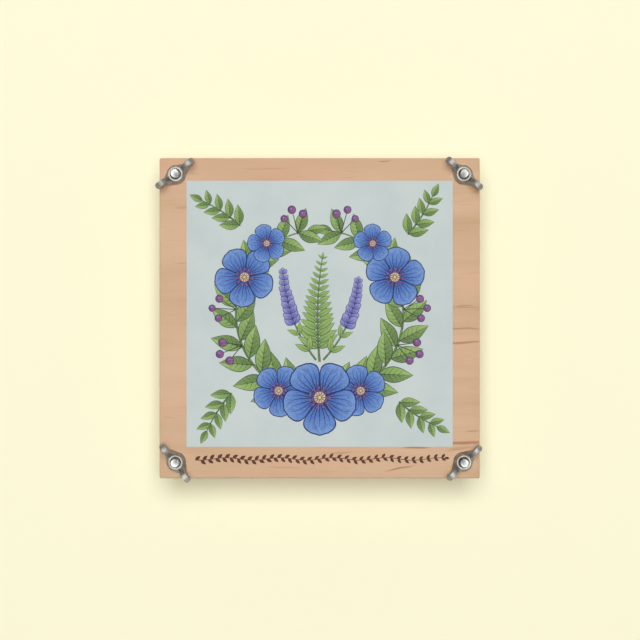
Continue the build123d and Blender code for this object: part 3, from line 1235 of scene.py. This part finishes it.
def along_rule():
    """Leaves along a path: each turned to the path and leaned from it, larger at the foot."""
    rule = Rule("leaves_along_stem", {
        "Stem": THING, "Leaf": THING, "Count": WHOLE, "Lean": FLOAT, "Sway": FLOAT,
        "Foot size": FLOAT, "Tip size": FLOAT, "Rise": FLOAT, "Tiers": WHOLE, "Seed": WHOLE,
        "Finish": FINISH,
    })
    given = rule.given
    values = {"Curve": rule.shape_of(given["Stem"]), "Count": given["Count"]}
    even = rule.add("GeometryNodeResampleCurve", values).outputs[0]
    run = rule.parts(rule.add("GeometryNodeInputTangent").outputs[0])
    heading = rule.calc("ARCTAN2", run[1], run[0])
    values = {2: -1.0, "Seed": given["Seed"]}
    sway = rule.add("FunctionNodeRandomValue", values, data_type="FLOAT").outputs[1]
    swing = rule.calc("MULTIPLY", sway, given["Sway"])
    bearing = rule.calc("ADD", heading, rule.calc("ADD", given["Lean"], swing))
    share = rule.add("GeometryNodeSplineParameter").outputs["Factor"]
    shrink = rule.calc("SUBTRACT", given["Tip size"], given["Foot size"])
    size = rule.calc("MULTIPLY_ADD", share, shrink, given["Foot size"])
    tier = rule.calc("MODULO", rule.add("GeometryNodeInputIndex").outputs[0], given["Tiers"])
    raised = rule.raised(even, rule.calc("MULTIPLY", tier, given["Rise"]))
    rule.end(rule.placed(raised, rule.shape_of(given["Leaf"]), bearing, size))
    return rule


def round_rule():
    """Petals or stamens round a middle, each lying a little over the one before."""
    rule = Rule("petals_round_middle", {
        "Petal": THING, "Count": WHOLE, "Turn": FLOAT, "Rise": FLOAT, "Size": FLOAT,
        "Middle": POINT, "Finish": FINISH,
    })
    given = rule.given
    points = rule.add("GeometryNodePoints", {"Count": given["Count"]}).outputs[0]
    index = rule.add("GeometryNodeInputIndex").outputs[0]
    raised = rule.raised(points, rule.calc("MULTIPLY", index, given["Rise"]))
    step = rule.calc("DIVIDE", 2 * math.pi, given["Count"])
    bearing = rule.calc("MULTIPLY_ADD", index, step, given["Turn"])
    ring = rule.placed(raised, rule.shape_of(given["Petal"]), bearing, given["Size"])
    values = {"Geometry": ring, "Translation": given["Middle"]}
    rule.end(rule.add("GeometryNodeTransform", values).outputs[0])
    return rule


def outlined(shape, line):
    """The same shape, larger all round by the line given."""
    length, half_width, fullness, pointedness, start = shape
    return (length + 2 * line, half_width + line, fullness, pointedness, start - line)


def vein_path(shape, spread, start, end):
    """A line that runs from near a blade's foot towards its tip, at a share of its width."""
    near, _, shares = blade(*shape)
    path = []
    for (x, width), share in zip(near, shares):
        if start <= share <= end:
            path.append((x, width * spread))
    return path


class Motif:
    """A printed shape at the origin, along X, as one plate for each ink that it takes."""

    def __init__(self, name):
        self.name = name
        self.plates = {}

    def plate(self, ink):
        """A new plate for one ink."""
        self.plates[ink] = Plate()
        return self.plates[ink]

    def things(self):
        """The plates as objects for a rule to copy, by ink."""
        made = {}
        for ink, plate in self.plates.items():
            name = f"{self.name}_{ink}"
            made[ink] = in_scene(name, mesh_of(plate.form, name))
        return made


def petal_motif():
    """A broad petal with a dark outline and fine veins."""
    motif = Motif("petal")
    lines = motif.plate("navy_line")
    closed_blade(lines, PETAL_LAYER, *outlined(PETAL_SHAPE, PETAL_LINE))
    closed_blade(motif.plate("petal_blue"), PETAL_LAYER + 1, *PETAL_SHAPE)
    for spread, end in PETAL_VEINS:
        path = vein_path(PETAL_SHAPE, spread, PETAL_VEIN_START, end)
        stroke(lines, PETAL_LAYER + 2, path, *PETAL_VEIN_WIDTHS)
    return motif


def stamen_motif():
    """A thin stamen with a round end."""
    motif = Motif("stamen")
    plum = motif.plate("plum")
    stroke(plum, EYE_LAYER + 1, STAMEN_PATH, *STAMEN_WIDTHS)
    disc(plum, EYE_LAYER + 2, STAMEN_END, STAMEN_END_RADIUS, SMALL_DOT_STEPS)
    return motif


def leaf_motif():
    """A pointed leaf with a light and a dark half, a midrib and side veins."""
    motif = Motif("leaf")
    lines = motif.plate("green_line")
    closed_blade(lines, LEAF_LAYER, *outlined(LEAF_SHAPE, LEAF_LINE))
    half_blade(motif.plate("leaf_light"), LEAF_LAYER + 1, 1, *LEAF_SHAPE)
    half_blade(motif.plate("leaf_dark"), LEAF_LAYER + 1, -1, *LEAF_SHAPE)
    stroke(lines, LEAF_LAYER + 2, LEAF_RIB, *LEAF_RIB_WIDTHS)
    edge = blade(*LEAF_SHAPE)[0]
    for index in SIDE_VEINS:
        foot = edge[index][0]
        tip, width = edge[index + SIDE_VEIN_STEPS]
        for side in (1, -1):
            middle = ((foot + tip) / 2, side * width * 0.5)
            path = [(foot, 0), middle, (tip, side * width * SIDE_VEIN_REACH)]
            stroke(lines, LEAF_LAYER + 2, path, *SIDE_VEIN_WIDTHS)
    return motif


def leaflet_motif():
    """A narrow leaflet with a midrib."""
    motif = Motif("leaflet")
    lines = motif.plate("green_line")
    closed_blade(lines, LEAF_LAYER, *outlined(LEAFLET_SHAPE, LEAFLET_LINE))
    closed_blade(motif.plate("leaf_light"), LEAF_LAYER + 1, *LEAFLET_SHAPE)
    stroke(lines, LEAF_LAYER + 2, LEAFLET_RIB, *LEAFLET_RIB_WIDTHS)
    return motif


def floret_motif():
    """A small floret of lavender with a dark crease."""
    motif = Motif("floret")
    lines = motif.plate("navy_line")
    closed_blade(lines, LEAF_LAYER + 1, *outlined(FLORET_SHAPE, FLORET_LINE))
    closed_blade(motif.plate("lavender"), LEAF_LAYER + 2, *FLORET_SHAPE)
    stroke(lines, LEAF_LAYER + 3, FLORET_CREASE, *CREASE_WIDTHS)
    return motif


def twig_leaf_motif():
    """A tiny plain leaf."""
    motif = Motif("twig_leaf")
    closed_blade(motif.plate("brown_line"), LEAF_LAYER, *TWIG_LEAF_SHAPE)
    return motif


def stem_thing(name, paths, level):
    """Paths in millimetres about the sheet's middle, as one curve object for leaves to follow."""
    curve = bpy.data.curves.new(name, "CURVE")
    curve.dimensions = "3D"
    for path in paths:
        spline = curve.splines.new("POLY")
        spline.points.add(len(path) - 1)
        for point, (x, y) in zip(spline.points, path):
            point.co = (x * MM, y * MM, level, 1.0)
    return in_scene(name, curve)


class Print:
    """All the ink on the press, gathered ink by ink."""

    def __init__(self, inks):
        self.inks = inks
        self.plates = {ink: Plate() for ink in inks}
        self.along = along_rule()
        self.round = round_rule()

    def leaves(self, things, paths, count, lean, sway, foot_size, tip_size, seed, layer=0):
        """Leaves along the paths given, each lying a little over the one before."""
        stem = stem_thing("stem", paths, layer * INK_STEP)
        for ink, thing in things.items():
            mesh = self.along.grow("leaves", {
                "Stem": stem, "Leaf": thing, "Count": count, "Lean": math.radians(lean),
                "Sway": math.radians(sway), "Foot size": foot_size, "Tip size": tip_size,
                "Seed": seed, "Rise": LEAF_RISE * INK_STEP, "Tiers": LEAF_TIERS,
                "Finish": self.inks[ink],
            })
            self.plates[ink].merge(mesh)
        bpy.data.objects.remove(stem)

    def rosette(self, things, count, middle, turn, size, rise, layer=0):
        """Petals or stamens round a middle."""
        for ink, thing in things.items():
            mesh = self.round.grow("rosette", {
                "Petal": thing, "Count": count, "Turn": math.radians(turn), "Size": size,
                "Middle": (middle[0] * MM, middle[1] * MM, layer * INK_STEP),
                "Rise": rise * INK_STEP, "Finish": self.inks[ink],
            })
            self.plates[ink].merge(mesh)

    def tip(self, things, path, size, layer=0):
        """One leaf that ends a path."""
        (ax, ay), (bx, by) = path[-2:]
        turn = math.degrees(math.atan2(by - ay, bx - ax))
        self.rosette(things, 1, (bx, by), turn, size, 0, layer)

    def stem(self, path, width, tip_width):
        """A green stem with a darker edge."""
        widths = (width + STEM_EDGE[0], tip_width + STEM_EDGE[1])
        stroke(self.plates["green_line"], STEM_LAYER, path, *widths)
        stroke(self.plates["leaf_dark"], STEM_LAYER + 1, path, width, tip_width)


def draw_flower(ink, petal, stamen, middle, turn, size, layer):
    """A flower seen from above, with a dark throat, a pale eye and a ring of stamens."""
    lines = ink.plates["navy_line"]
    disc(lines, PETAL_LAYER - 1 + layer, middle, THROAT_RADIUS * size)
    ink.rosette(petal, PETAL_COUNT, middle, turn, size, PETAL_RISE, layer)
    disc(lines, EYE_LAYER - 1 + layer, middle, EYE_LINE_RADIUS * size)
    disc(ink.plates["eye"], EYE_LAYER + layer, middle, EYE_RADIUS * size)
    ink.rosette(stamen, STAMEN_COUNT, middle, turn + STAMEN_TURN, size, 0, layer)


def draw_berries(ink, bearing, rng):
    """Three berries on stalks that leave the wreath together."""
    foot = at_bearing(WREATH_RADIUS, bearing)
    for push, swing in BERRY_CLUSTER:
        middle = at_bearing(WREATH_RADIUS + push, bearing + swing)
        stroke(ink.plates["green_line"], BERRY_LAYER - 1, [foot, middle], *STALK_WIDTHS)
        size = rng.uniform(*BERRY_SIZES)
        disc(ink.plates["navy_line"], BERRY_LAYER, middle, size + BERRY_LINE)
        disc(ink.plates["plum"], BERRY_LAYER + 1, middle, size)
        light = (middle[0] + BERRY_LIGHT[0], middle[1] + BERRY_LIGHT[1])
        disc(ink.plates["lavender"], BERRY_LAYER + 2, light, BERRY_LIGHT_RADIUS, SMALL_DOT_STEPS)


def draw_wreath(ink, petal, stamen, leaf, rng):
    """Two leafy branches that rise from the foot of a ring, with flowers and berries on them."""
    for start, end in BRANCHES:
        ink.stem(branch_path(start, end), *BRANCH_WIDTHS)
    for lean, inset, layer, seed in LEAF_ROWS:
        paths = [branch_path(start, end, inset, TIP_GAP) for start, end in BRANCHES]
        ink.leaves(
            leaf, paths, count=12, lean=lean, sway=6, foot_size=1.12, tip_size=0.78,
            seed=seed, layer=layer,
        )
    for number, (start, end) in enumerate(BRANCHES):
        ink.tip(leaf, branch_path(start, end), 0.62, LEAF_STACK + number * LEAF_RISE)
    for bearing, push, size, turn, layer in FLOWERS:
        middle = at_bearing(WREATH_RADIUS + push, bearing)
        draw_flower(ink, petal, stamen, middle, turn, size, layer)
    for bearing in BERRY_BEARINGS:
        draw_berries(ink, bearing, rng)


def draw_bouquet(ink, leaflet, floret):
    """A fern frond between two sprigs of lavender, standing inside the wreath."""
    frond = curved_path(FROND)
    ink.stem(frond, *FROND_WIDTHS)
    for lean in (58, -58):
        ink.leaves(
            leaflet, [frond[BARE_STEPS:]], count=15, lean=lean, sway=3, foot_size=1.4,
            tip_size=0.34, seed=9,
        )
    ink.tip(leaflet, frond, 0.4)
    sprigs = [curved_path(sprig) for sprig in SPRIGS]
    for path in sprigs:
        ink.stem(path, *SPRIG_WIDTHS)
    heads = [path[SPRIG_HEAD_START:] for path in sprigs]
    for lean in (38, -38):
        ink.leaves(
            floret, heads, count=10, lean=lean, sway=8, foot_size=1.3, tip_size=0.7, seed=21
        )
    for path in sprigs:
        ink.tip(floret, path, 0.8)
    feet = [path[BARE_STEPS:SPRIG_LEAF_END] for path in sprigs]
    for lean in (34, -34):
        ink.leaves(
            leaflet, feet, count=2, lean=lean, sway=4, foot_size=0.95, tip_size=0.8,
            seed=5, layer=LEAF_STACK,
        )


def draw_corners(ink, leaf):
    """A small leafy sprig pointing into each corner of the sheet."""
    paths = []
    for bearing in CORNER_BEARINGS:
        path = curved_path([at_bearing(away, bearing + swing) for away, swing in CORNER_STEM])
        ink.stem(path, *SPRIG_WIDTHS)
        ink.tip(leaf, path, 0.45, LEAF_STACK)
        paths.append(path[:-CORNER_BARE_STEPS])
    for lean in (42, -42):
        ink.leaves(
            leaf, paths, count=4, lean=lean, sway=5, foot_size=0.62, tip_size=0.45, seed=13
        )


def draw_border(ink, twig_leaf):
    """A slender twig with small leaves, stamped on the bare wood in front of the sheet."""
    path = []
    for step in range(BORDER_STEPS + 1):
        x = -BORDER_HALF + 2 * BORDER_HALF * step / BORDER_STEPS
        path.append((x, BORDER_Y + BORDER_SWING * math.sin(x * BORDER_WAVE)))
    stroke(ink.plates["brown_line"], STEM_LAYER, path, *TWIG_WIDTHS)
    for lean, first in ((40, 0), (-40, 2)):
        ink.leaves(
            twig_leaf, [path[first:-1]], count=34, lean=lean, sway=8, foot_size=1.0, tip_size=0.8,
            seed=17,
        )
    ink.tip(twig_leaf, path, 0.8)


def make_inks():
    """Every ink of the plate, by name."""
    inks = {name: shaded_ink(name, *look) for name, look in SHADED_INKS.items()}
    inks.update({name: line_ink(name, *look) for name, look in LINE_INKS.items()})
    return inks


def make_print(rng):
    """The printed plate and the stamped border, one piece for each ink."""
    inks = make_inks()
    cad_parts["printed_sheet"].data.materials.clear()
    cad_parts["printed_sheet"].data.materials.append(sheet_ground())
    motifs = (
        petal_motif(), stamen_motif(), leaf_motif(), leaflet_motif(), floret_motif(),
        twig_leaf_motif(),
    )
    things = {motif.name: motif.things() for motif in motifs}
    ink = Print(inks)
    draw_wreath(ink, things["petal"], things["stamen"], things["leaf"], rng)
    draw_bouquet(ink, things["leaflet"], things["floret"])
    draw_corners(ink, things["leaf"])
    draw_border(ink, things["twig_leaf"])
    for parts in things.values():
        for thing in parts.values():
            bpy.data.objects.remove(thing)
    for name, plate in ink.plates.items():
        mesh = mesh_of(plate.form, f"print_{name}")
        on_wood = name == "brown_line"
        level = TOP_HIGH.z if on_wood else SHEET_HIGH.z
        mesh.transform(Matrix.Translation((SHEET_MIDDLE.x, SHEET_MIDDLE.y, level)))
        piece(f"print_{name}", mesh, inks[name], "press_top")


# Studio

CAMERA_PLACE = (0.0002, -0.001, 1.042)
CAMERA_LENS = 100.1
CAMERA_SENSOR = 36.0
CAMERA_NEAR = 0.01

# The table's half side, its tint and the backdrop's, and between which distances from the middle
# one fades into the other
TABLE_HALF = 2.5
TABLE_TINT = tint(254, 251, 218)
BACKDROP_TINT = tint(254, 251, 222)
TABLE_FADE = (0.4, 1.1)

# Soft lamps: lean towards the back edge in degrees, width, depth and watts
LAMP_DISTANCE = 3.0
LAMPS = {"overhead_lamp": (-1.0, 1.17, 0.74, 37.0), "back_lamp": (15.0, 1.5, 0.84, 41.5)}

# How bright the studio is from the horizon up to straight above, first as it lights the press and
# then as glossy surfaces show it, with how much brighter they show one side of it
ROOM_LEVELS = [(0.0, 0.5), (0.25, 0.4), (0.6, 0.1), (0.9, 0.1), (1.0, 0.2)]
MIRROR_LEVELS = [
    (0.0, 0.52), (0.35, 0.5), (0.72, 0.38), (0.88, 1.7), (0.964, 2.9), (0.982, 2.2), (0.992, 1.3),
    (1.0, 0.45),
]
MIRROR_SIDE = 0.66

# The highest level that such a curve holds
LEVEL_LIMIT = 3.0


def table_cream():
    """The table's pale cream, which runs out into the backdrop away from the press."""
    finish = Finish("table_cream")
    finish.colour(TABLE_TINT)
    finish.dull(0.9)
    finish.gloss(0.0)
    away = finish.add("ShaderNodeVectorMath", {0: finish.coordinates()}, operation="LENGTH")
    seen = finish.add("ShaderNodeLightPath").outputs["Is Camera Ray"]
    share = finish.calc("MULTIPLY", finish.span(away.outputs["Value"], *TABLE_FADE), seen)
    backdrop = finish.add("ShaderNodeEmission", {"Color": BACKDROP_TINT, "Strength": 1.0})
    values = {0: share, 1: finish.shader.outputs[0], 2: backdrop.outputs[0]}
    mixed = finish.add("ShaderNodeMixShader", values)
    finish.feed(finish.tree.nodes["Material Output"].inputs["Surface"], mixed.outputs[0])
    return finish.material


def make_floor():
    """The table that the press stands on."""
    form = bmesh.new()
    bmesh.ops.create_grid(form, x_segments=1, y_segments=1, size=TABLE_HALF)
    floor = in_scene("table", mesh_of(form, "table"))
    floor.data.materials.append(table_cream())


def make_lamp(name, lean, width, depth, watts):
    """A soft lamp above the press."""
    lamp = bpy.data.lights.new(name, "AREA")
    lamp.shape = "RECTANGLE"
    lamp.size = width
    lamp.size_y = depth
    lamp.energy = watts
    tilt = math.radians(lean)
    thing = in_scene(name, lamp)
    thing.location = (0, LAMP_DISTANCE * math.sin(tilt), LAMP_DISTANCE * math.cos(tilt))
    thing.rotation_euler = (-tilt, 0, 0)
    thing.visible_glossy = False


def level_curve(nodes, height, levels):
    """A brightness for each height, in straight runs from level to level."""
    node = nodes.add("ShaderNodeFloatCurve", {"Value": height})
    curve = node.mapping.curves[0]
    node.mapping.clip_max_y = LEVEL_LIMIT
    while len(curve.points) < len(levels):
        curve.points.new(1.0, 1.0)
    for point, (place, level) in zip(curve.points, levels):
        point.location = (place, level)
        point.handle_type = "VECTOR"
    node.mapping.update()
    return node.outputs[0]


def make_light():
    """Two soft lamps, and a dim room with a bright ring round the camera for glossy rays alone."""
    for name, lamp in LAMPS.items():
        make_lamp(name, *lamp)
    world = bpy.data.worlds.new("studio")
    world.use_nodes = True
    room = Nodes(world.node_tree)
    background = world.node_tree.nodes["Background"]
    background.inputs["Color"].default_value = (1.0, 1.0, 1.0, 1.0)
    right, back, up = room.parts(room.add("ShaderNodeTexCoord").outputs["Generated"])
    rays = room.add("ShaderNodeLightPath").outputs
    dim = level_curve(room, up, ROOM_LEVELS)
    low = room.calc("SUBTRACT", 1.0, up)
    sideways = room.calc("MULTIPLY", room.calc("SUBTRACT", right, back), low)
    brighter = room.calc("MULTIPLY_ADD", sideways, MIRROR_SIDE, 1.0)
    shown = room.calc("MULTIPLY", level_curve(room, up, MIRROR_LEVELS), brighter)
    change = room.calc("SUBTRACT", shown, dim)
    level = room.calc("MULTIPLY_ADD", change, rays["Is Glossy Ray"], dim)
    room.feed(background.inputs["Strength"], level)
    backdrop = room.add("ShaderNodeBackground", {"Color": BACKDROP_TINT, "Strength": 1.0})
    values = {0: rays["Is Camera Ray"], 1: background.outputs[0], 2: backdrop.outputs[0]}
    mixed = room.add("ShaderNodeMixShader", values)
    room.feed(world.node_tree.nodes["World Output"].inputs["Surface"], mixed.outputs[0])
    bpy.context.scene.world = world


def make_camera():
    """A camera straight above the press, as in the photo."""
    camera = bpy.data.cameras.new("camera")
    camera.lens = CAMERA_LENS
    camera.sensor_width = CAMERA_SENSOR
    camera.clip_start = CAMERA_NEAR
    thing = in_scene("camera", camera)
    thing.location = CAMERA_PLACE
    bpy.context.scene.camera = thing


sheet_rng = random.Random(SHEET_SEED)
print_rng = random.Random(PRINT_SEED)
make_boards()
make_bolts()
make_nuts()
make_cards(sheet_rng)
make_papers(sheet_rng)
make_print(print_rng)
make_floor()
make_light()
make_camera()
bpy.context.scene.view_settings.view_transform = "Standard"
